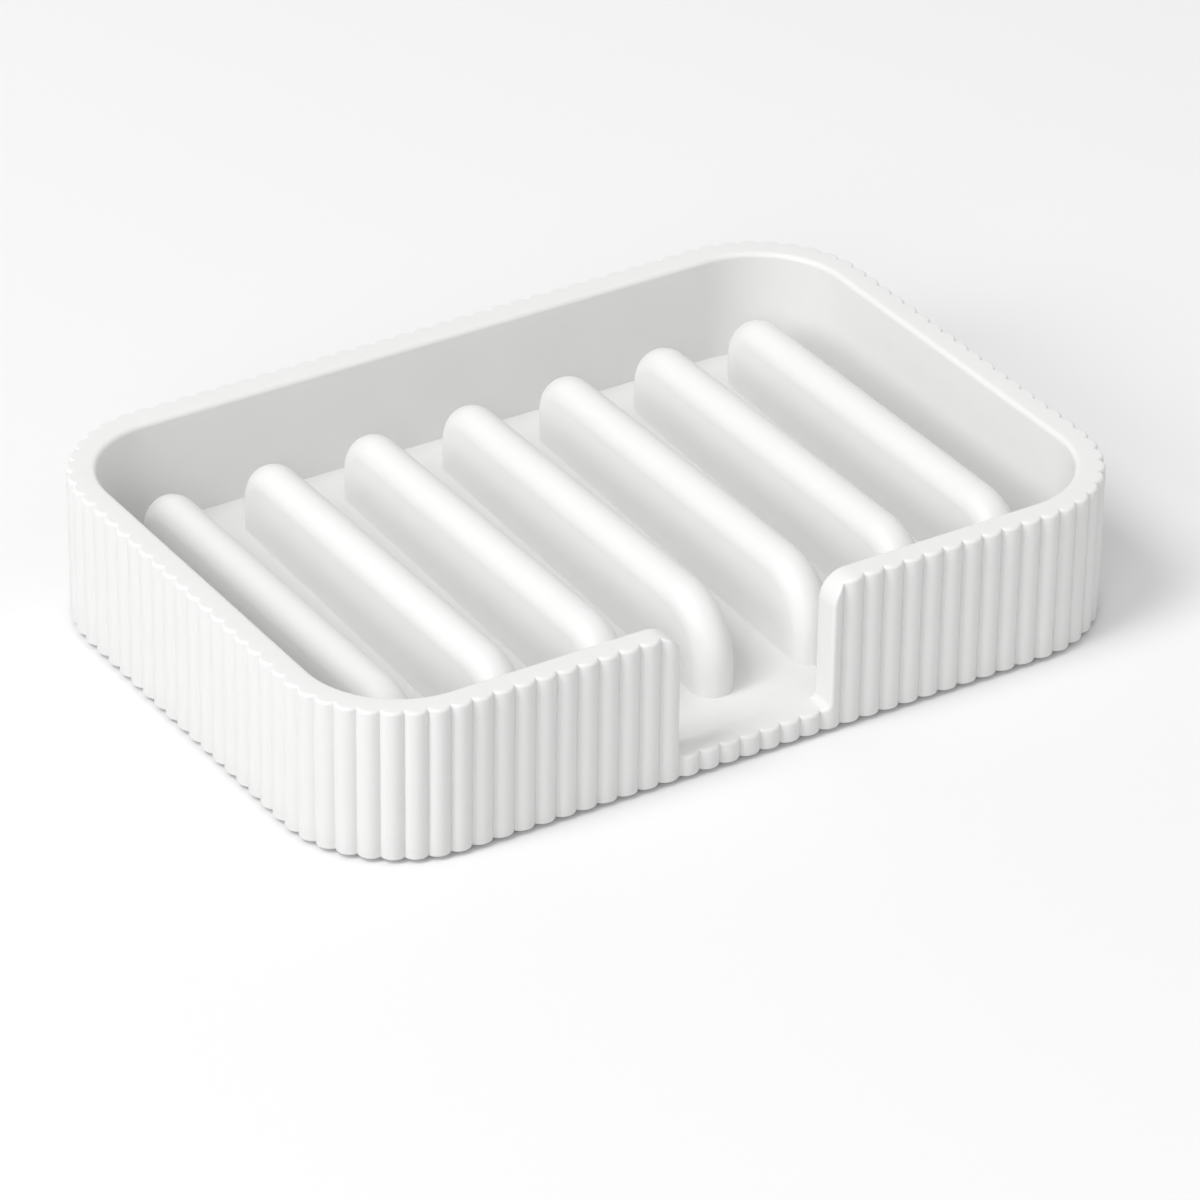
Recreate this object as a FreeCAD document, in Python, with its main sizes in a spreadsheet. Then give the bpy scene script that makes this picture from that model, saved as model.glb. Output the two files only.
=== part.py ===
import FreeCAD
import Part
import math
import os

import Sketcher
from FreeCAD import Vector

# Soap dish in millimetres, +Z up. The origin is on the ground below the middle of the dish, the long
# side runs along X, and the drain notch is in the front wall, towards -Y.

DRIVING_SIZES = {
    # Tray: outline over the bead tips, wall, floor and reeding
    "dish_length": 130.0,
    "dish_width": 91.2,
    "corner_radius": 18.0,
    "wall_height": 23.0,
    "wall_thickness": 4.3,
    "floor_thickness": 2.0,
    "flute_pitch": 3.28,
    "flute_depth": 0.48,
    "rim_chamfer": 0.8,
    # Drain notch in the front wall
    "notch_width": 24.2,
    "notch_offset": -1.1,
    "notch_corner_radius": 4.0,
    # Rack: wedge-shaped plate that falls to the notch, and its ribs
    "rack_clearance": 0.1,
    "plate_front_thickness": 1.2,
    "plate_back_thickness": 4.3,
    "rib_pitch": 16.35,
    "rib_thickness": 6.2,
    "rib_height": 15.3,
    "rib_front_room": 5.8,
    "rib_back_room": 5.1,
    "rib_side_room": 6.0,
    "rib_front_radius": 10.4,
    "rib_back_radius": 7.1,
    # Feet: round pads let into the underside
    "foot_diameter": 8.0,
    "foot_thickness": 1.4,
    "foot_stand_off": 0.7,
    "foot_inset": 17.0,
    "foot_clearance": 0.15,
    # How far a cut runs past the face that it opens
    "cut_overrun": 1.0,
}

# Sizes that follow from the driving ones, as sheet expressions
CAVITY_LENGTH = "(sizes.dish_length - 2 * sizes.wall_thickness)"
CAVITY_WIDTH = "(sizes.dish_width - 2 * sizes.wall_thickness)"
CAVITY_RADIUS = "(sizes.corner_radius - sizes.wall_thickness)"
CAVITY_DEPTH = "(sizes.wall_height - sizes.floor_thickness)"
SILL_HEIGHT = "(sizes.floor_thickness + sizes.plate_front_thickness)"
NOTCH_LEFT_REACH = "(sizes.notch_width / 2 - sizes.notch_offset)"
PLATE_LENGTH = f"({CAVITY_LENGTH} - 2 * sizes.rack_clearance)"
PLATE_WIDTH = f"({CAVITY_WIDTH} - 2 * sizes.rack_clearance)"
PLATE_RADIUS = f"({CAVITY_RADIUS} - sizes.rack_clearance)"
RIB_RADIUS = "(sizes.rib_thickness / 2)"
RIB_ROOT = "(sizes.plate_front_thickness / 2)"
RIB_FRONT_REACH = f"({PLATE_WIDTH} / 2 - sizes.rib_front_room)"
RIB_BACK_REACH = f"({PLATE_WIDTH} / 2 - sizes.rib_back_room)"
FOOT_X = "(sizes.dish_length / 2 - sizes.foot_inset)"
FOOT_Y = "(sizes.dish_width / 2 - sizes.foot_inset)"
RECESS_DIAMETER = "(sizes.foot_diameter + 2 * sizes.foot_clearance)"
RECESS_DEPTH = "(sizes.foot_thickness - sizes.foot_stand_off)"

FOOT_CORNERS = {
    "foot_front_left": (-1, -1),
    "foot_front_right": (1, -1),
    "foot_rear_left": (-1, 1),
    "foot_rear_right": (1, 1),
}

QUARTER_TURN = math.pi / 2
START, END, CENTRE = range(1, 4)
ROOT = (-1, 1)
UPRIGHT_AXIS = ROOT[0] - 1

doc = FreeCAD.newDocument("soap_dish")
sheet = doc.addObject("Spreadsheet::Sheet", "sizes")
for row, (name, value) in enumerate(DRIVING_SIZES.items(), start=1):
    sheet.set(f"A{row}", name)
    sheet.set(f"B{row}", str(value))
    sheet.setAlias(f"B{row}", name)
doc.recompute()


def now(expression):
    """The present value of a sheet expression."""
    return float(sheet.evalExpression(expression))


def size(name):
    return now(f"sizes.{name}")


def near(first, second):
    return math.isclose(first, second, abs_tol=1e-4)


def new_body(label):
    body = doc.addObject("PartDesign::Body", label)
    body.Label = label
    return body


def origin_item(body, role):
    return next(item for item in body.Origin.OriginFeatures if item.Role == role)


def new_sketch(body, role, name):
    sketch = body.newObject("Sketcher::SketchObject", name)
    sketch.AttachmentSupport = (origin_item(body, role), [""])
    sketch.MapMode = "FlatFace"
    return sketch


def relate(sketch, kind, *places):
    return sketch.addConstraint(Sketcher.Constraint(kind, *places))


def drive(sketch, expression, kind, *places):
    """Give a sketch one dimension, bound to the sheet."""
    index = relate(sketch, kind, *places, now(expression))
    sketch.setExpression(f"Constraints[{index}]", expression)


def segment(start_x, start_y, end_x, end_y):
    return Part.LineSegment(Vector(start_x, start_y, 0), Vector(end_x, end_y, 0))


def arc(centre_x, centre_y, radius, first, last):
    circle = Part.Circle(Vector(centre_x, centre_y, 0), Vector(0, 0, 1), radius)
    return Part.ArcOfCircle(circle, first, last)


def meeting_ends(first, second):
    """Which end of one edge meets which end of the other."""
    first_ends = {START: first.StartPoint, END: first.EndPoint}
    second_ends = {START: second.StartPoint, END: second.EndPoint}
    pairs = [(a, b) for a in first_ends for b in second_ends]
    return min(pairs, key=lambda pair: first_ends[pair[0]].distanceToPoint(second_ends[pair[1]]))


def add_ring(sketch, edges, smooth=()):
    """Add edges that meet in turn and close on the first. The joint after each edge whose place is in
    smooth is tangent."""
    ids = [sketch.addGeometry(edge) for edge in edges]
    for place, edge in enumerate(edges):
        following = (place + 1) % len(edges)
        end, start = meeting_ends(edge, edges[following])
        kind = "Tangent" if place in smooth else "Coincident"
        relate(sketch, kind, ids[place], end, ids[following], start)
    return ids


def set_level(sketch, flat=(), upright=()):
    for line in flat:
        relate(sketch, "Horizontal", line)
    for line in upright:
        relate(sketch, "Vertical", line)


def rounded_rectangle(sketch, length, width, radius):
    """A rectangle about the origin with round corners."""
    x = now(length) / 2
    y = now(width) / 2
    r = now(radius)
    edges = [
        segment(r - x, -y, x - r, -y),
        arc(x - r, r - y, r, -QUARTER_TURN, 0),
        segment(x, r - y, x, y - r),
        arc(x - r, y - r, r, 0, QUARTER_TURN),
        segment(x - r, y, r - x, y),
        arc(r - x, y - r, r, QUARTER_TURN, 2 * QUARTER_TURN),
        segment(-x, y - r, -x, r - y),
        arc(r - x, r - y, r, 2 * QUARTER_TURN, 3 * QUARTER_TURN),
    ]
    front, corner, right, second, back, third, left, fourth = add_ring(sketch, edges, smooth=range(8))
    set_level(sketch, flat=(front, back), upright=(right, left))
    for other in (second, third, fourth):
        relate(sketch, "Equal", corner, other)
    relate(sketch, "Symmetric", corner, CENTRE, third, CENTRE, *ROOT)
    drive(sketch, radius, "Radius", corner)
    drive(sketch, length, "DistanceX", left, START, right, START)
    drive(sketch, width, "DistanceY", front, START, back, START)


def add_feature(body, kind, name, profile, length, sides="One side", reverse=False):
    feature = body.newObject(f"PartDesign::{kind}", name)
    feature.Profile = profile
    feature.setExpression("Length", length)
    feature.SideType = sides
    feature.Reversed = reverse
    doc.recompute()
    return feature


def add_roll(body, name, profile):
    """Turn a sketch up about its first edge, through a quarter of a circle."""
    feature = body.newObject("PartDesign::Revolution", name)
    feature.Profile = profile
    feature.ReferenceAxis = (profile, ["Edge1"])
    feature.Angle = math.degrees(QUARTER_TURN)
    doc.recompute()


def dress_edges(body, kind, name, base, is_chosen, setting, expression):
    """Round or chamfer the edges of the last feature that the test picks."""
    feature = body.newObject(f"PartDesign::{kind}", name)
    edges = enumerate(base.Shape.Edges, start=1)
    feature.Base = (base, [f"Edge{index}" for index, edge in edges if is_chosen(edge)])
    feature.setExpression(setting, expression)
    doc.recompute()


def reeded_outline():
    """Arcs of the reeded wall, anticlockwise from the middle of the front. Each bead is a round arc from
    cusp to cusp: its tip lies on the dish's rounded rectangle and its cusps one flute depth further in."""
    half_depth = size("flute_depth") / 2
    straight_x = size("dish_length") / 2 - size("corner_radius")
    straight_y = size("dish_width") / 2 - size("corner_radius")
    radius = size("corner_radius") - half_depth
    corner_run = radius * QUARTER_TURN
    # Each side is a straight run and then a corner: the run, the corner's centre, the side's outward angle
    sides = [
        (2 * straight_x, (straight_x, -straight_y), -QUARTER_TURN),
        (2 * straight_y, (straight_x, straight_y), 0),
        (2 * straight_x, (-straight_x, straight_y), QUARTER_TURN),
        (2 * straight_y, (-straight_x, -straight_y), 2 * QUARTER_TURN),
    ]
    total = sum(run + corner_run for run, centre, outward in sides)
    count = round(total / size("flute_pitch"))

    def point(bead, offset):
        """A point some beads along the middle line of the reeding, moved outwards by the offset."""
        travel = (bead / count * total + straight_x) % total
        for run, centre, outward in sides:
            if travel < run + corner_run:
                break
            travel -= run + corner_run
        angle = outward + max(travel - run, 0) / radius
        still_to_go = max(run - travel, 0)
        x = centre[0] + (radius + offset) * math.cos(angle) + still_to_go * math.sin(outward)
        y = centre[1] + (radius + offset) * math.sin(angle) - still_to_go * math.cos(outward)
        return Vector(x, y, 0)

    cusps = [point(bead, -half_depth) for bead in range(count)]
    tips = [point(bead + 1 / 2, half_depth) for bead in range(count)]
    return [Part.Arc(*points) for points in zip(cusps, tips, cusps[1:] + cusps[:1])]


def notch_outline(body):
    """Front view of the notch: flat sill, upright sides, and rim corners that roll over into the sides."""
    sketch = new_sketch(body, "XZ_Plane", "notch_outline")
    left_x = -now(NOTCH_LEFT_REACH)
    right_x = left_x + size("notch_width")
    sill_z = now(SILL_HEIGHT)
    rim_z = size("wall_height")
    radius = size("notch_corner_radius")
    roll_z = rim_z - radius
    above_z = rim_z + size("cut_overrun")
    edges = [
        segment(left_x, sill_z, right_x, sill_z),
        segment(right_x, sill_z, right_x, roll_z),
        arc(right_x + radius, roll_z, radius, QUARTER_TURN, 2 * QUARTER_TURN),
        segment(right_x + radius, rim_z, right_x + radius, above_z),
        segment(right_x + radius, above_z, left_x - radius, above_z),
        segment(left_x - radius, above_z, left_x - radius, rim_z),
        arc(left_x - radius, roll_z, radius, 0, QUARTER_TURN),
        segment(left_x, roll_z, left_x, sill_z),
    ]
    sill, right, right_roll, right_rise, top, left_rise, left_roll, left = add_ring(sketch, edges, smooth=(1, 6))
    set_level(sketch, flat=(sill, top), upright=(right, right_rise, left_rise, left))
    relate(sketch, "Vertical", right_roll, CENTRE, right_rise, START)
    relate(sketch, "Vertical", left_roll, CENTRE, left_rise, END)
    relate(sketch, "Horizontal", right_rise, START, left_rise, END)
    relate(sketch, "Equal", right_roll, left_roll)
    drive(sketch, "sizes.notch_corner_radius", "Radius", right_roll)
    drive(sketch, "sizes.wall_height", "DistanceY", *ROOT, right_rise, START)
    drive(sketch, "sizes.cut_overrun", "DistanceY", right_rise, START, right_rise, END)
    drive(sketch, SILL_HEIGHT, "DistanceY", *ROOT, sill, START)
    drive(sketch, "sizes.notch_width", "DistanceX", sill, START, sill, END)
    drive(sketch, NOTCH_LEFT_REACH, "DistanceX", sill, START, *ROOT)
    return sketch


def make_tray():
    """One moulding: reeded wall, plain inside, drain notch, flat floor and recesses for the feet."""
    body = new_body("fluted_tray")
    outline = new_sketch(body, "XY_Plane", "tray_outline")
    for bead in reeded_outline():
        outline.addGeometry(bead)
    add_feature(body, "Pad", "tray_block", outline, "sizes.wall_height")

    hollow = new_sketch(body, "XY_Plane", "tray_hollow")
    hollow.setExpression("AttachmentOffset.Base.z", "sizes.wall_height")
    rounded_rectangle(hollow, CAVITY_LENGTH, CAVITY_WIDTH, CAVITY_RADIUS)
    cavity = add_feature(body, "Pocket", "tray_cavity", hollow, CAVITY_DEPTH)

    def is_inner_rim(edge):
        box = edge.BoundBox
        if not near(box.ZMin, size("wall_height")):
            return False
        on_end = near(abs(box.XMin), now(CAVITY_LENGTH) / 2) and near(box.XLength, 0)
        on_side = near(abs(box.YMin), now(CAVITY_WIDTH) / 2) and near(box.YLength, 0)
        return on_end or on_side or near(getattr(edge.Curve, "Radius", 0), now(CAVITY_RADIUS))

    dress_edges(body, "Chamfer", "inner_rim_chamfer", cavity, is_inner_rim, "Size", "sizes.rim_chamfer")
    notch_reach = "sizes.dish_width / 2 + sizes.cut_overrun"
    add_feature(body, "Pocket", "drain_notch", notch_outline(body), notch_reach, reverse=True)

    recesses = new_sketch(body, "XY_Plane", "foot_recesses")
    for x_sign, y_sign in FOOT_CORNERS.values():
        centre = Vector(x_sign * now(FOOT_X), y_sign * now(FOOT_Y), 0)
        circle = recesses.addGeometry(Part.Circle(centre, Vector(0, 0, 1), now(RECESS_DIAMETER) / 2))
        drive(recesses, RECESS_DIAMETER, "Diameter", circle)
        across = (circle, CENTRE, *ROOT) if x_sign < 0 else (*ROOT, circle, CENTRE)
        along = (circle, CENTRE, *ROOT) if y_sign < 0 else (*ROOT, circle, CENTRE)
        drive(recesses, FOOT_X, "DistanceX", *across)
        drive(recesses, FOOT_Y, "DistanceY", *along)
    add_feature(body, "Pocket", "foot_recess_cuts", recesses, RECESS_DEPTH, reverse=True)
    body.setExpression("Placement.Base.z", "sizes.foot_stand_off")
    return body


def rib_section(body, place):
    """Cross section of a rib: upright sides and a half-round crest."""
    sketch = new_sketch(body, "XZ_Plane", "rib_section")
    sketch.setExpression("AttachmentOffset.Base.x", place)
    r = now(RIB_RADIUS)
    root_z = now(RIB_ROOT)
    crest_z = size("rib_height") - r
    base, right, crest, left = add_ring(sketch, [
        segment(-r, root_z, r, root_z),
        segment(r, root_z, r, crest_z),
        arc(0, crest_z, r, 0, 2 * QUARTER_TURN),
        segment(-r, crest_z, -r, root_z),
    ], smooth=(1, 2))
    set_level(sketch, flat=(base,), upright=(right, left))
    relate(sketch, "PointOnObject", crest, CENTRE, UPRIGHT_AXIS)
    drive(sketch, RIB_RADIUS, "Radius", crest)
    drive(sketch, f"sizes.rib_height - {RIB_RADIUS}", "DistanceY", *ROOT, crest, CENTRE)
    drive(sketch, RIB_ROOT, "DistanceY", *ROOT, base, START)
    return sketch


def add_rib_end(body, name, place, reach, radius, turn):
    """Half-round end of a rib. It rises from the plate and then rolls over into the crest about the first
    edge of its plan, which lies at the level where the roll begins."""
    plan = new_sketch(body, "XY_Plane", f"{name}_plan")
    plan.AttachmentOffset = FreeCAD.Placement(Vector(), FreeCAD.Rotation(Vector(0, 0, 1), math.degrees(turn)))
    plan.setExpression("AttachmentOffset.Base.x", place)
    plan.setExpression("AttachmentOffset.Base.z", f"sizes.rib_height - {radius}")
    r = now(RIB_RADIUS)
    end_y = now(reach)
    axis_y = end_y - now(radius)
    axis, right, end, left = add_ring(plan, [
        segment(-r, axis_y, r, axis_y),
        segment(r, axis_y, r, end_y - r),
        arc(0, end_y - r, r, 0, 2 * QUARTER_TURN),
        segment(-r, end_y - r, -r, axis_y),
    ], smooth=(1, 2))
    set_level(plan, flat=(axis,), upright=(right, left))
    relate(plan, "PointOnObject", end, CENTRE, UPRIGHT_AXIS)
    drive(plan, RIB_RADIUS, "Radius", end)
    drive(plan, f"{reach} - {RIB_RADIUS}", "DistanceY", *ROOT, end, CENTRE)
    drive(plan, f"{reach} - {radius}", "DistanceY", *ROOT, axis, START)
    add_roll(body, f"{name}_roll", plan)
    add_feature(body, "Pad", name, plan, f"sizes.rib_height - {radius} - {RIB_ROOT}", reverse=True)


def plate_side(body):
    """Side view of the plate: flat below, falling from the back to the notch above."""
    sketch = new_sketch(body, "YZ_Plane", "plate_side")
    half_width = now(PLATE_WIDTH) / 2
    front_z = size("plate_front_thickness")
    back_z = size("plate_back_thickness")
    base, back, fall, front = add_ring(sketch, [
        segment(-half_width, 0, half_width, 0),
        segment(half_width, 0, half_width, back_z),
        segment(half_width, back_z, -half_width, front_z),
        segment(-half_width, front_z, -half_width, 0),
    ])
    set_level(sketch, flat=(base,), upright=(back, front))
    relate(sketch, "Symmetric", base, START, base, END, *ROOT)
    drive(sketch, PLATE_WIDTH, "DistanceX", base, START, base, END)
    drive(sketch, "sizes.plate_back_thickness", "DistanceY", back, START, back, END)
    drive(sketch, "sizes.plate_front_thickness", "DistanceY", front, END, front, START)
    return sketch


def make_rack():
    """Ribbed insert in one moulding: round-topped ribs on a wedge-shaped plate that lies on the tray's
    floor. As many ribs stand side by side as the plate has room for."""
    body = new_body("soap_rack")
    room = now(PLATE_LENGTH) - size("rib_thickness") - 2 * size("rib_side_room")
    count = math.floor(room / size("rib_pitch")) + 1
    place = f"-sizes.rib_pitch * {count - 1} / 2"

    front_run = f"{RIB_FRONT_REACH} - sizes.rib_front_radius"
    rib = add_feature(body, "Pad", "rib", rib_section(body, place), front_run, sides="Two sides")
    rib.setExpression("Length2", f"{RIB_BACK_REACH} - sizes.rib_back_radius")
    add_rib_end(body, "rib_front", place, RIB_FRONT_REACH, "sizes.rib_front_radius", 2 * QUARTER_TURN)
    add_rib_end(body, "rib_back", place, RIB_BACK_REACH, "sizes.rib_back_radius", 0)

    row = body.newObject("PartDesign::LinearPattern", "rib_row")
    row.TransformMode = "Whole shape"
    row.Direction = (origin_item(body, "X_Axis"), [""])
    row.Mode = "Spacing"
    row.setExpression("Offset", "sizes.rib_pitch")
    row.Occurrences = count
    body.Tip = row
    doc.recompute()

    plate = add_feature(body, "Pad", "plate", plate_side(body), PLATE_LENGTH, sides="Symmetric")

    def is_plate_corner(edge):
        box = edge.BoundBox
        at_end = near(abs(box.XMin), now(PLATE_LENGTH) / 2) and near(box.XLength, 0)
        return at_end and near(abs(box.YMin), now(PLATE_WIDTH) / 2) and near(box.YLength, 0)

    dress_edges(body, "Fillet", "plate_corners", plate, is_plate_corner, "Radius", PLATE_RADIUS)
    body.setExpression("Placement.Base.z", "sizes.foot_stand_off + sizes.floor_thickness")
    return body


def make_foot(label, x_sign, y_sign):
    """Round die-cut pad, seated against the top of its recess."""
    body = new_body(label)
    disc = new_sketch(body, "XY_Plane", f"{label}_disc")
    circle = disc.addGeometry(Part.Circle(Vector(), Vector(0, 0, 1), size("foot_diameter") / 2))
    relate(disc, "Coincident", circle, CENTRE, *ROOT)
    drive(disc, "sizes.foot_diameter", "Diameter", circle)
    add_feature(body, "Pad", f"{label}_pad", disc, "sizes.foot_thickness")
    body.setExpression("Placement.Base.x", f"{x_sign} * {FOOT_X}")
    body.setExpression("Placement.Base.y", f"{y_sign} * {FOOT_Y}")
    return body


pieces = [make_tray(), make_rack()]
pieces += [make_foot(label, *signs) for label, signs in FOOT_CORNERS.items()]
doc.recompute()

for item in doc.Objects:
    if "Invalid" in item.State or "Error" in item.State:
        raise RuntimeError(f"{item.Label} did not build: {item.State}")
os.makedirs("parts", exist_ok=True)
for piece in pieces:
    shape = piece.Shape
    if shape.isNull() or not shape.isValid() or len(shape.Solids) != 1:
        raise RuntimeError(f"{piece.Label} is not one valid solid")
    shape.exportStep(f"parts/{piece.Label}.step")
    print(piece.Label, round(shape.Volume, 2), shape.BoundBox)
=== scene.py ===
import math

import bmesh
import bpy
from mathutils import Matrix, Vector


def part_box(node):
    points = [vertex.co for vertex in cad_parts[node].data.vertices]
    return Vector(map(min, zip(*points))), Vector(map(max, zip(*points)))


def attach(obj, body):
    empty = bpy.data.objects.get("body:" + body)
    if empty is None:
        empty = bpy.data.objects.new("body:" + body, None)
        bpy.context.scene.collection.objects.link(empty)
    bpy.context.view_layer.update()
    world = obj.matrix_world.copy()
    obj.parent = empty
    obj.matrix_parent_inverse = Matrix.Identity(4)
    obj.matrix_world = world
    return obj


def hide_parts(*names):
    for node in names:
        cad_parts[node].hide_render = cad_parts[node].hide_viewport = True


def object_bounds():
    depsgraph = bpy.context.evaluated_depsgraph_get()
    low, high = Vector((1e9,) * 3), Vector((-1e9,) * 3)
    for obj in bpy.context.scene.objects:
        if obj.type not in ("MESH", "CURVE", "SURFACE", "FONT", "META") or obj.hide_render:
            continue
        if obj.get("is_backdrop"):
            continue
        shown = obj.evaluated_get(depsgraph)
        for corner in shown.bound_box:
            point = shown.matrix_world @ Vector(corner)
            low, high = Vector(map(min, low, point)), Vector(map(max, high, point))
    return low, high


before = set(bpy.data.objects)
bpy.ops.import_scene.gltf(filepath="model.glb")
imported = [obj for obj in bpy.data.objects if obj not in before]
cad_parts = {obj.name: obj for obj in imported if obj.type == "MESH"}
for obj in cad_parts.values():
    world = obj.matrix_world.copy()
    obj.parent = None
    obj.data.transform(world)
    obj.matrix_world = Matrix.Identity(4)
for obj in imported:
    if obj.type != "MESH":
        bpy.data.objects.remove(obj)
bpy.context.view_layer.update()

# Fluted tray: the outer dish, one moulding in matte white plastic.
# Its wall stands in narrow round beads outside and is plain inside. One soft edge follows the beads
# along the rim, rolls down into the drain notch at the front and runs on along the sill.

tray_low, tray_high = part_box("fluted_tray")
rack_low, rack_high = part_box("soap_rack")
corner_radius = 0.018
wall = 0.0043
bead_pitch_aim = 0.00328
bead_depth = 0.0008
bead_columns = 16
notch_left = -0.0132
notch_right = 0.0110
notch_roll = 0.004
notch_corner = 0.001
sill_rise = 0.0012
floor_level = rack_low.z
sill_level = floor_level + sill_rise
edge_round = 0.0005
inner_round = 0.0008
sill_inner_round = 0.00001
base_round = 0.0002
roll_steps = 14
corner_steps = 6
edge_steps = 8
base_steps = 4
recess_clearance = 0.00015
recess_segments = 64
sharp_angle = math.radians(38)
hair = 0.000001
roll_level = tray_high.z - notch_roll
corner_level = sill_level + notch_corner
foot_names = ["foot_front_left", "foot_front_right", "foot_rear_left", "foot_rear_right"]

# The beads stand along a rounded rectangle that lies halfway between their tips and the grooves.
straight_x = tray_high.x - corner_radius
straight_y = tray_high.y - corner_radius
line_radius = corner_radius - bead_depth / 2
corner_run = line_radius * math.pi / 2
wall_sides = [
    (2 * straight_x, Vector((straight_x, -straight_y)), -math.pi / 2),
    (2 * straight_y, Vector((straight_x, straight_y)), 0),
    (2 * straight_x, Vector((-straight_x, straight_y)), math.pi / 2),
    (2 * straight_y, Vector((-straight_x, -straight_y)), math.pi),
]
round_trip = sum(run + corner_run for run, centre, outward in wall_sides)
bead_count = round(round_trip / bead_pitch_aim)
bead_pitch = round_trip / bead_count
bead_radius = bead_pitch ** 2 / 8 / bead_depth + bead_depth / 2
inner_face = bead_depth / 2 - wall


def wall_point(travel, reach, height):
    """The place some travel along the beads' line from the front's middle, and some reach out from it."""
    left = (travel + straight_x) % round_trip
    for run, centre, outward in wall_sides:
        if left < run + corner_run:
            break
        left -= run + corner_run
    angle = outward + max(left - run, 0) / line_radius
    short = max(run - left, 0)
    x = centre.x + (line_radius + reach) * math.cos(angle) + short * math.sin(outward)
    y = centre.y + (line_radius + reach) * math.sin(angle) - short * math.cos(outward)
    return Vector((x, y, height))


def bead_reach(travel, sunk):
    """How far out the beads reach, less the depth that a rounding has stepped in from them."""
    across = (travel / bead_pitch % 1 - 0.5) * bead_pitch
    return bead_depth / 2 - bead_radius + math.sqrt(bead_radius ** 2 - across ** 2) - sunk


def columns_between(first, last):
    """The evenly spaced columns that lie between two places along the wall."""
    column = bead_pitch / bead_columns
    start = math.floor(first / column) + 1
    return [place * column for place in range(start, math.ceil(last / column))]


def roll_stations(side):
    """The roll from the rim down into the notch, with a station on each groove that its edge crosses."""
    turn = notch_right + notch_roll if side > 0 else notch_left - notch_roll
    angles = {step / roll_steps * math.pi / 2 for step in range(roll_steps + 1)}
    for groove in range(-bead_count // 2, bead_count // 2):
        sine = side * (turn - groove * bead_pitch) / (notch_roll - edge_round)
        if 0 < sine < 1:
            angles.add(math.asin(sine))
    facings = [(-side * math.sin(angle), math.cos(angle)) for angle in sorted(angles)]
    return [(turn + notch_roll * t, roll_level + notch_roll * z, t, z, inner_round) for t, z in facings]


def corner_stations(side):
    """The hollow corner from the notch's side to its sill, where the inner rounding fades out."""
    turn = notch_right - notch_corner if side > 0 else notch_left + notch_corner
    made = []
    for step in range(corner_steps + 1):
        angle = step / corner_steps * math.pi / 2
        t, z = -side * math.cos(angle), math.sin(angle)
        inner = inner_round + (sill_inner_round - inner_round) * step / corner_steps
        made.append((turn - notch_corner * t, corner_level - notch_corner * z, t, z, inner))
    return made


# The top edge of the wall, once round from the foot of the notch's right side. Each station is its place
# along the wall, its height, the way it faces along the wall and upwards, and its inner rounding.
right_corner = corner_stations(1)[::-1]
stations = [right_corner[-1]] + roll_stations(1)[::-1]
for travel in columns_between(notch_right + notch_roll, round_trip + notch_left - notch_roll):
    stations.append((travel, tray_high.z, 0, 1, inner_round))
stations += roll_stations(-1) + corner_stations(-1)
for travel in columns_between(notch_left + notch_corner, notch_right - notch_corner):
    stations.append((travel, sill_level, 0, 1, sill_inner_round))
stations += right_corner[:-1]


def outer_point(station, share):
    """A place on the edge's outer rounding, from the beads at share 0 to the top at share 1."""
    travel, height, t, z, inner = stations[station]
    turn = share * math.pi / 2
    drop = edge_round * (1 - math.sin(turn))
    travel -= t * drop
    return wall_point(travel, bead_reach(travel, edge_round * (1 - math.cos(turn))), height - z * drop)


def inner_point(station, share):
    """A place on the edge's inner rounding, from the top at share 0 to the plain wall at share 1."""
    travel, height, t, z, inner = stations[station]
    turn = share * math.pi / 2
    drop = inner * (1 - math.cos(turn))
    return wall_point(travel - t * drop, inner_face + inner * (1 - math.sin(turn)), height - z * drop)


def base_point(station, share):
    """A place on the rounding under the beads, from the wall at share 0 to the underside at share 1."""
    travel, height, t, z, inner = stations[station]
    turn = share * math.pi / 2
    travel -= t * edge_round
    reach = bead_reach(travel, base_round * (1 - math.cos(turn)))
    return wall_point(travel, reach, tray_low.z + base_round * (1 - math.sin(turn)))


def choose_open_edges(mesh, low, high):
    """Select the edges that still lack a face and lie between two heights."""
    bpy.ops.mesh.select_mode(type="EDGE")
    bpy.ops.mesh.select_all(action="DESELECT")
    shape = bmesh.from_edit_mesh(mesh)
    for edge in shape.edges:
        heights = [vertex.co.z for vertex in edge.verts]
        if len(edge.link_faces) < 2 and low - hair < min(heights) and max(heights) < high + hair:
            edge.select = True
    shape.select_flush_mode()
    bmesh.update_edit_mesh(mesh)


def grow(mesh, place, share):
    """Extrude the selected edges and put each new vertex where its station belongs."""
    bpy.ops.mesh.extrude_edges_move()
    shape = bmesh.from_edit_mesh(mesh)
    number = shape.verts.layers.int["station"]
    for vertex in shape.verts:
        if vertex.select:
            vertex.co = place(vertex[number], share)
    bmesh.update_edit_mesh(mesh)


def drop_to(level):
    """Extrude the selected edges straight to one level, and join them to what ends there."""
    bpy.ops.mesh.extrude_edges_move()
    bpy.ops.transform.resize(value=(1, 1, 0), center_override=(0, 0, level))
    bpy.ops.mesh.remove_doubles(threshold=hair, use_unselected=True)


bpy.ops.object.select_all(action="DESELECT")
bpy.ops.mesh.primitive_circle_add(vertices=len(stations), radius=tray_high.x)
tray = bpy.context.object
tray.name = "fluted_tray_moulding"
bpy.ops.object.mode_set(mode="EDIT")
shape = bmesh.from_edit_mesh(tray.data)
number = shape.verts.layers.int.new("station")
for station, vertex in enumerate(shape.verts):
    vertex[number] = station
    vertex.co = outer_point(station, 0)
bmesh.update_edit_mesh(tray.data)

# Outside: the beaded wall from the edge down to the notch's foot, then the whole loop down to the base.
choose_open_edges(tray.data, roll_level, tray_high.z)
drop_to(corner_level)
choose_open_edges(tray.data, 0, corner_level)
for step in range(base_steps + 1):
    grow(tray.data, base_point, step / base_steps)

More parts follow.
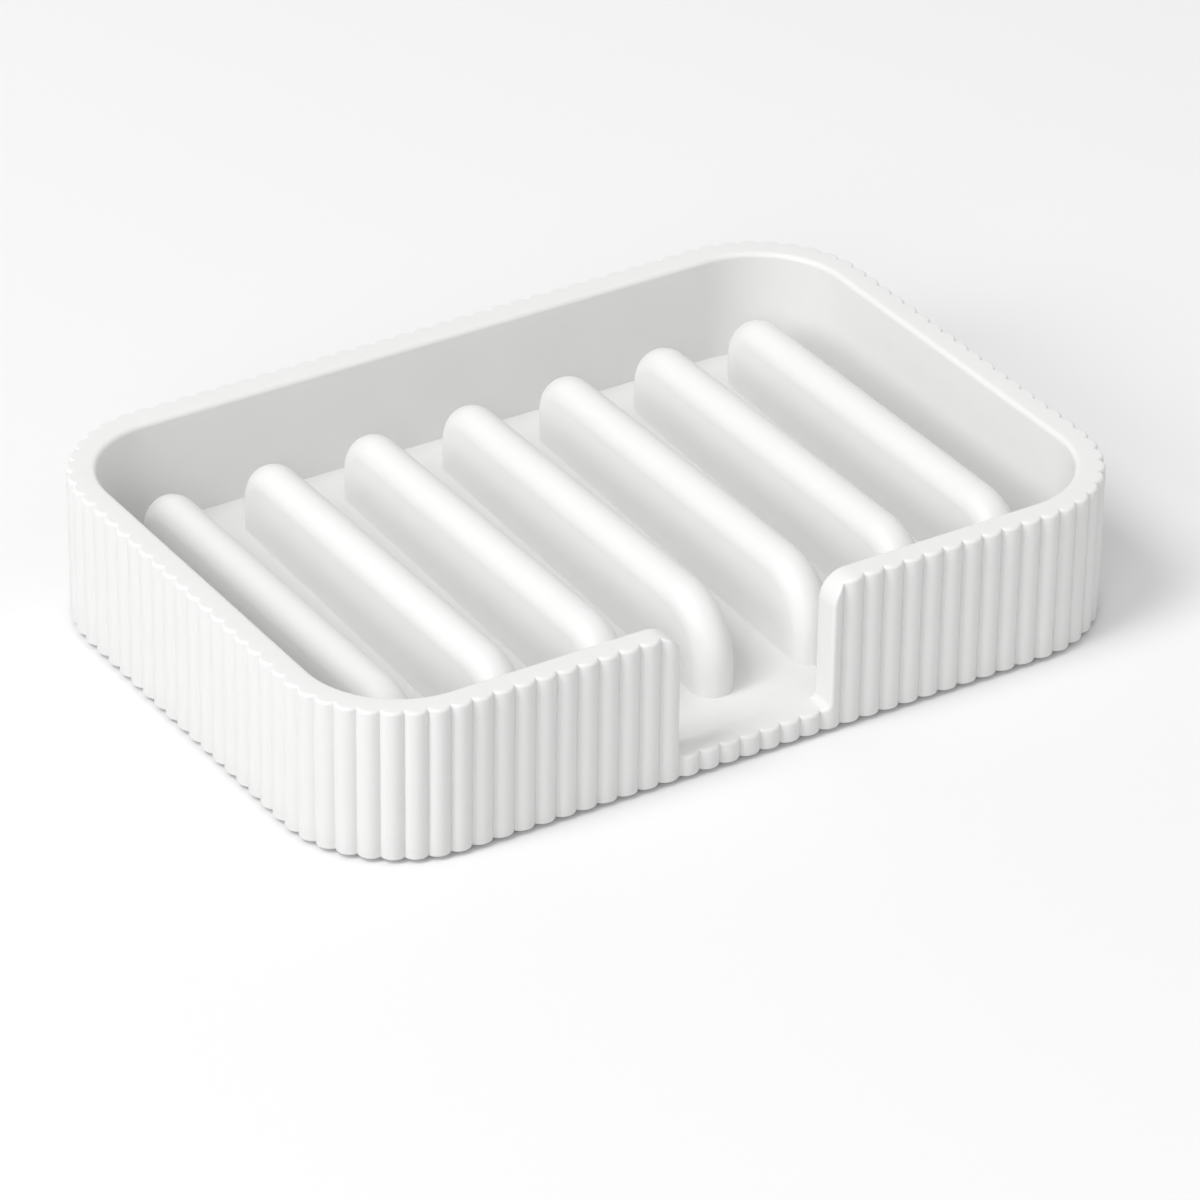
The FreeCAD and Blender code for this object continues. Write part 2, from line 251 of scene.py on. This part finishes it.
# Underside: a flat face with a round recess for each foot.
for name in foot_names:
    low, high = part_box(name)
    middle = (low + high) / 2
    radius = (high.x - low.x) / 2 + recess_clearance
    bpy.ops.mesh.select_all(action="DESELECT")
    bpy.ops.mesh.primitive_circle_add(
        vertices=recess_segments, radius=radius, location=(middle.x, middle.y, tray_low.z)
    )
    bpy.ops.mesh.extrude_edges_move(TRANSFORM_OT_translate={"value": (0, 0, high.z - tray_low.z)})
    bpy.ops.mesh.edge_face_add()
choose_open_edges(tray.data, tray_low.z, tray_low.z)
bpy.ops.mesh.fill(use_beauty=False)

# Top edge and inside: over the rim in fine rings, then down the plain wall to the flat floor.
choose_open_edges(tray.data, 0, tray_high.z)
for step in range(1, edge_steps + 1):
    grow(tray.data, outer_point, step / edge_steps)
for step in range(edge_steps + 1):
    grow(tray.data, inner_point, step / edge_steps)
choose_open_edges(tray.data, roll_level, tray_high.z)
drop_to(corner_level)
choose_open_edges(tray.data, 0, corner_level)
bpy.ops.mesh.extrude_edges_move()
bpy.ops.transform.resize(value=(1, 1, 0), center_override=(0, 0, floor_level))
bpy.ops.mesh.edge_face_add()
bpy.ops.mesh.select_all(action="SELECT")
bpy.ops.mesh.normals_make_consistent(inside=False)
bpy.ops.object.mode_set(mode="OBJECT")
tray.data.attributes.remove(tray.data.attributes["station"])
bpy.ops.object.shade_smooth_by_angle(angle=sharp_angle)


class Signal:
    """One output of a material's nodes, on which arithmetic adds Math nodes."""

    def __init__(self, tree, socket=None):
        self.tree = tree
        self.socket = socket

    def node(self, kind, settings, sockets, output=0):
        """Add a node: its settings first, then the value or link of each socket that is named."""
        made = self.tree.nodes.new(kind)
        for name, value in settings.items():
            setattr(made, name, value)
        for name, value in sockets.items():
            if isinstance(value, Signal):
                self.tree.links.new(value.socket, made.inputs[name])
            else:
                made.inputs[name].default_value = value
        return Signal(self.tree, made.outputs[output] if made.outputs else None)

    def math(self, operation, first, second):
        return self.node("ShaderNodeMath", {"operation": operation}, {0: first, 1: second})

    def __add__(self, other):
        return self.math("ADD", self, other)

    def __radd__(self, other):
        return self.math("ADD", other, self)

    def __sub__(self, other):
        return self.math("SUBTRACT", self, other)

    def __rsub__(self, other):
        return self.math("SUBTRACT", other, self)

    def __mul__(self, other):
        return self.math("MULTIPLY", self, other)

    def __rmul__(self, other):
        return self.math("MULTIPLY", other, self)


tray_pale = (0.815, 0.814, 0.809, 1)
tray_deep = (0.788, 0.787, 0.781, 1)
tray_roughness = 0.46
grain_depth = 0.00002
cloud_share = 0.7
cloud_sheen = 0.12
speck_sheen = 0.08
noise_middle = 0.5


def satin_plastic(name, pale, deep, roughness):
    """Moulded plastic: a faint cloudiness in colour and sheen, and the fine grain of a blasted mould."""
    material = bpy.data.materials.new(name)
    material.use_nodes = True
    tree = material.node_tree
    tree.nodes.clear()
    paint = Signal(tree)
    place = paint.node("ShaderNodeTexCoord", {}, {}, "Object")
    cloud = paint.node("ShaderNodeTexNoise", {}, {"Vector": place, "Scale": 38.0, "Detail": 3.0}, "Fac")
    speck = paint.node("ShaderNodeTexNoise", {}, {"Vector": place, "Scale": 420.0, "Detail": 2.0}, "Fac")
    grain = paint.node("ShaderNodeTexNoise", {}, {"Vector": place, "Scale": 2600.0, "Detail": 2.0}, "Fac")
    tint = cloud_share * cloud + (1 - cloud_share) * speck
    sheen = cloud_sheen * (cloud - noise_middle) + speck_sheen * (speck - noise_middle)
    colour = paint.node(
        "ShaderNodeMix", {"data_type": "RGBA"}, {"Factor": tint, "A": pale, "B": deep}, "Result"
    )
    relief = paint.node(
        "ShaderNodeBump", {}, {"Strength": 0.25, "Distance": grain_depth, "Height": grain}, "Normal"
    )
    surface = paint.node(
        "ShaderNodeBsdfPrincipled",
        {},
        {
            "Base Color": colour,
            "Roughness": roughness + sheen,
            "IOR": 1.47,
            "Normal": relief,
        },
    )
    paint.node("ShaderNodeOutputMaterial", {}, {"Surface": surface})
    return material


tray.data.materials.append(satin_plastic("tray_white", tray_pale, tray_deep, tray_roughness))
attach(tray, "tray")
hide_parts("fluted_tray")

# Feet: four round pads that keep the wet dish from sliding on a smooth top.
# They are die-cut from pale grey silicone sheet, and each is stuck into its recess in the underside.

foot_segments = 64
foot_edge = 0.00015
foot_edge_steps = 3
foot_pale = (0.74, 0.74, 0.73, 1)
foot_deep = (0.68, 0.68, 0.67, 1)
foot_roughness = 0.62
bloom_sheen = 0.16
press_depth = 0.00004


def silicone(name, pale, deep):
    """Matte silicone with a soft bloom and the fine grain of its press."""
    material = bpy.data.materials.new(name)
    material.use_nodes = True
    tree = material.node_tree
    tree.nodes.clear()
    paint = Signal(tree)
    place = paint.node("ShaderNodeTexCoord", {}, {}, "Object")
    bloom = paint.node("ShaderNodeTexNoise", {}, {"Vector": place, "Scale": 260.0, "Detail": 4.0}, "Fac")
    press = paint.node("ShaderNodeTexNoise", {}, {"Vector": place, "Scale": 1800.0, "Detail": 2.0}, "Fac")
    colour = paint.node(
        "ShaderNodeMix", {"data_type": "RGBA"}, {"Factor": bloom, "A": pale, "B": deep}, "Result"
    )
    relief = paint.node(
        "ShaderNodeBump", {}, {"Strength": 0.4, "Distance": press_depth, "Height": press}, "Normal"
    )
    surface = paint.node(
        "ShaderNodeBsdfPrincipled",
        {},
        {
            "Base Color": colour,
            "Roughness": foot_roughness + bloom_sheen * bloom,
            "IOR": 1.41,
            "Normal": relief,
        },
    )
    paint.node("ShaderNodeOutputMaterial", {}, {"Surface": surface})
    return material


foot_finish = silicone("foot_pad", foot_pale, foot_deep)
for name in foot_names:
    low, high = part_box(name)
    middle = (low + high) / 2
    bpy.ops.object.select_all(action="DESELECT")
    bpy.ops.mesh.primitive_circle_add(
        vertices=foot_segments,
        radius=(high.x - low.x) / 2,
        fill_type="NGON",
        location=(middle.x, middle.y, low.z),
    )
    foot = bpy.context.object
    foot.name = name + "_pad"
    bpy.ops.object.mode_set(mode="EDIT")
    bpy.ops.mesh.extrude_region_move(TRANSFORM_OT_translate={"value": (0, 0, high.z - low.z)})
    bpy.ops.mesh.select_all(action="DESELECT")
    bpy.ops.mesh.select_mode(type="EDGE")
    shape = bmesh.from_edit_mesh(foot.data)
    for edge in shape.edges:
        edge.select = abs(edge.verts[0].co.z - edge.verts[1].co.z) < hair
    bmesh.update_edit_mesh(foot.data)
    bpy.ops.mesh.bevel(offset=foot_edge, segments=foot_edge_steps, affect="EDGES")
    bpy.ops.mesh.select_all(action="SELECT")
    bpy.ops.mesh.normals_make_consistent(inside=False)
    bpy.ops.object.mode_set(mode="OBJECT")
    bpy.ops.object.transform_apply(location=True, rotation=True, scale=True)
    bpy.ops.object.shade_smooth_by_angle(angle=sharp_angle)
    foot.data.materials.append(foot_finish)
    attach(foot, "tray")
    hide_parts(name)

# Soap rack: the loose insert that the soap lies on, moulded in the same white plastic as the tray.
# Seven level, round-topped ribs roll down at both ends onto a plate that falls towards the notch, so
# that water runs out. The plate lies on the tray's floor inside the wall and lifts straight out.

plate_fit = 0.000005
plate_back = 0.0043
plate_corner_steps = 24
rib_count = 7
rib_pitch = 0.01635
rib_thickness = 0.0062
rib_height = 0.0153
rib_front_room = 0.0058
rib_back_room = 0.0051
rib_front_roll = 0.0104
rib_back_roll = 0.0071
rib_side_roll = 0.00307
rib_roll_steps = 20
rib_side_steps = 14
rack_pale = (0.82, 0.819, 0.814, 1)
rack_deep = (0.793, 0.792, 0.786, 1)
rack_roughness = 0.44

plate_x = tray_high.x - wall - plate_fit
plate_y = tray_high.y - wall - plate_fit
plate_radius = corner_radius - wall - plate_fit
plate_slope = (plate_back - sill_rise) / (rack_high.y - rack_low.y)
rib_front = rack_low.y + rib_front_room
rib_back = rack_high.y - rib_back_room
rib_root = rack_low.z + sill_rise / 2
rib_crest = rack_low.z + rib_height


def choose_edges(mesh, is_chosen):
    """Select the edges whose two ends both pass a test of their place."""
    bpy.ops.mesh.select_mode(type="EDGE")
    bpy.ops.mesh.select_all(action="DESELECT")
    shape = bmesh.from_edit_mesh(mesh)
    for edge in shape.edges:
        edge.select = all(is_chosen(vertex.co) for vertex in edge.verts)
    shape.select_flush_mode()
    bmesh.update_edit_mesh(mesh)


def make_rib(place):
    """One rib: a level bar that rolls down at both ends, with a half-round crest."""
    bpy.ops.object.select_all(action="DESELECT")
    bpy.ops.mesh.primitive_cube_add(size=1)
    rib = bpy.context.object
    bpy.ops.object.mode_set(mode="EDIT")
    bpy.ops.transform.resize(value=(rib_thickness, rib_back - rib_front, rib_crest - rib_root))
    bpy.ops.transform.translate(value=(place, (rib_front + rib_back) / 2, (rib_crest + rib_root) / 2))
    for end, roll in ((rib_front, rib_front_roll), (rib_back, rib_back_roll)):
        choose_edges(rib.data, lambda spot: abs(spot.y - end) < hair and spot.z > rib_crest - hair)
        bpy.ops.mesh.bevel(offset=roll, segments=rib_roll_steps, affect="EDGES", clamp_overlap=False)
    bpy.ops.mesh.select_all(action="DESELECT")
    shape = bmesh.from_edit_mesh(rib.data)
    for edge in shape.edges:
        ends = [vertex.co for vertex in edge.verts]
        along_side = abs(ends[0].x - ends[1].x) < hair
        edge.select = along_side and max(spot.z for spot in ends) > rib_root + hair
    bmesh.update_edit_mesh(rib.data)
    bpy.ops.mesh.bevel(offset=rib_side_roll, segments=rib_side_steps, affect="EDGES", clamp_overlap=False)
    bpy.ops.mesh.select_all(action="SELECT")
    bpy.ops.mesh.normals_make_consistent(inside=False)
    bpy.ops.object.mode_set(mode="OBJECT")
    return rib


bpy.ops.object.select_all(action="DESELECT")
bpy.ops.mesh.primitive_cube_add(size=2)
rack = bpy.context.object
rack.name = "soap_rack_moulding"
bpy.ops.object.mode_set(mode="EDIT")
bpy.ops.transform.resize(value=(plate_x, plate_y, 1))
bpy.ops.mesh.select_mode(type="EDGE")
bpy.ops.mesh.select_all(action="DESELECT")
shape = bmesh.from_edit_mesh(rack.data)
for edge in shape.edges:
    edge.select = abs(edge.verts[0].co.z - edge.verts[1].co.z) > hair
bmesh.update_edit_mesh(rack.data)
bpy.ops.mesh.bevel(offset=plate_radius, segments=plate_corner_steps, affect="EDGES", clamp_overlap=False)
shape = bmesh.from_edit_mesh(rack.data)
for vertex in shape.verts:
    is_top = vertex.co.z > 0
    vertex.co.z = sill_level + (vertex.co.y - rack_low.y) * plate_slope if is_top else rack_low.z
bmesh.update_edit_mesh(rack.data)
bpy.ops.object.mode_set(mode="OBJECT")

ribs = [make_rib((order - (rib_count - 1) / 2) * rib_pitch) for order in range(rib_count)]
bpy.ops.object.select_all(action="DESELECT")
for rib in ribs:
    rib.select_set(True)
bpy.context.view_layer.objects.active = ribs[0]
bpy.ops.object.join()
bpy.ops.object.select_all(action="DESELECT")
rack.select_set(True)
bpy.context.view_layer.objects.active = rack
union = rack.modifiers.new("ribs_on_plate", "BOOLEAN")
union.operation = "UNION"
union.solver = "EXACT"
union.object = ribs[0]
bpy.ops.object.modifier_apply(modifier=union.name)
bpy.data.objects.remove(ribs[0])
bpy.ops.object.shade_smooth_by_angle(angle=sharp_angle)

rack.data.materials.clear()
rack.data.materials.append(satin_plastic("rack_white", rack_pale, rack_deep, rack_roughness))
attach(rack, "rack")
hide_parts("soap_rack")

# Studio: a white sweep under a white dome that is dimmer on the left, where the soft lamps stand.
# Each lamp has its lift above the floor and its turn round the dish, in degrees, and its watts.

floor_size = 8
floor_white = 0.89
floor_bounce = 0.7
dome_level = 0.65
dome_dimming = 0.75
dome_fall = 1.2
lamp_reach = 2.4
lamp_size = 1.02
lamps = {"low_lamp": (28, 184, 15), "high_lamp": (55, 185, 24.4), "fill_lamp": (28, 225, 10.5)}


def shown_to(paint):
    """1 for the rays that show the background: from the camera, mirrored or let through."""
    names = ("Is Camera Ray", "Is Glossy Ray", "Is Transmission Ray")
    seen, mirrored, through = [paint.node("ShaderNodeLightPath", {}, {}, name) for name in names]
    return paint.math("MAXIMUM", seen, paint.math("MAXIMUM", mirrored, through))


bpy.ops.object.select_all(action="DESELECT")
bpy.ops.mesh.primitive_plane_add(size=floor_size)
floor = bpy.context.object
floor.name = "studio_floor"
floor_paper = bpy.data.materials.new("studio_paper")
floor_paper.use_nodes = True
floor_paper.node_tree.nodes.clear()
paint = Signal(floor_paper.node_tree)
is_seen = shown_to(paint)
grey = floor_bounce + (floor_white - floor_bounce) * is_seen
paper = paint.node("ShaderNodeBsdfDiffuse", {}, {"Color": grey})
paint.node("ShaderNodeOutputMaterial", {}, {"Surface": paper})
floor.data.materials.append(floor_paper)
floor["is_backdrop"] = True

world = bpy.data.worlds.new("studio_dome")
world.use_nodes = True
world.node_tree.nodes.clear()
paint = Signal(world.node_tree)
is_seen = shown_to(paint)
place = paint.node("ShaderNodeTexCoord", {}, {}, "Generated")
across = paint.node("ShaderNodeSeparateXYZ", {}, {"Vector": place}, "X")
to_left = paint.node(
    "ShaderNodeMath", {"operation": "MULTIPLY", "use_clamp": True}, {0: across, 1: -dome_fall}
)
light = dome_level - dome_level * dome_dimming * to_left
shown = light + is_seen * (1 - light)
dome = paint.node("ShaderNodeBackground", {}, {"Color": (1, 1, 1, 1), "Strength": shown})
paint.node("ShaderNodeOutputWorld", {}, {"Surface": dome})
bpy.context.scene.world = world

for name, (lift, turn, watts) in lamps.items():
    lamp_data = bpy.data.lights.new(name, "AREA")
    lamp_data.shape = "DISK"
    lamp_data.size = lamp_size
    lamp_data.energy = watts
    lamp = bpy.data.objects.new(name, lamp_data)
    level = lamp_reach * math.cos(math.radians(lift))
    lamp.location = (
        level * math.cos(math.radians(turn)),
        level * math.sin(math.radians(turn)),
        lamp_reach * math.sin(math.radians(lift)),
    )
    lamp.rotation_euler = lamp.location.to_track_quat("Z", "Y").to_euler()
    bpy.context.scene.collection.objects.link(lamp)

# Camera: a long lens from the front left, a little above the dish.

view_turn = math.radians(32.6087)
view_lift = math.radians(31.1545)
view_roll = math.radians(0.7622)
view_distance = 0.94427
view_aim = Vector((0.0020939, 0.0005208, 0))
lens = 200.717
film_width = 36

camera_data = bpy.data.cameras.new("product_camera")
camera_data.lens = lens
camera_data.sensor_width = film_width
camera = bpy.data.objects.new("product_camera", camera_data)
facing = (
    Matrix.Rotation(-view_turn, 4, "Z")
    @ Matrix.Rotation(math.pi / 2 - view_lift, 4, "X")
    @ Matrix.Rotation(view_roll, 4, "Z")
)
away = view_aim + Vector((0, 0, view_distance))
camera.matrix_world = Matrix.Translation((0, 0, tray_low.z)) @ facing @ Matrix.Translation(away)
bpy.context.scene.collection.objects.link(camera)
bpy.context.scene.camera = camera
bpy.context.scene.view_settings.view_transform = "Standard"

low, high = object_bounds()
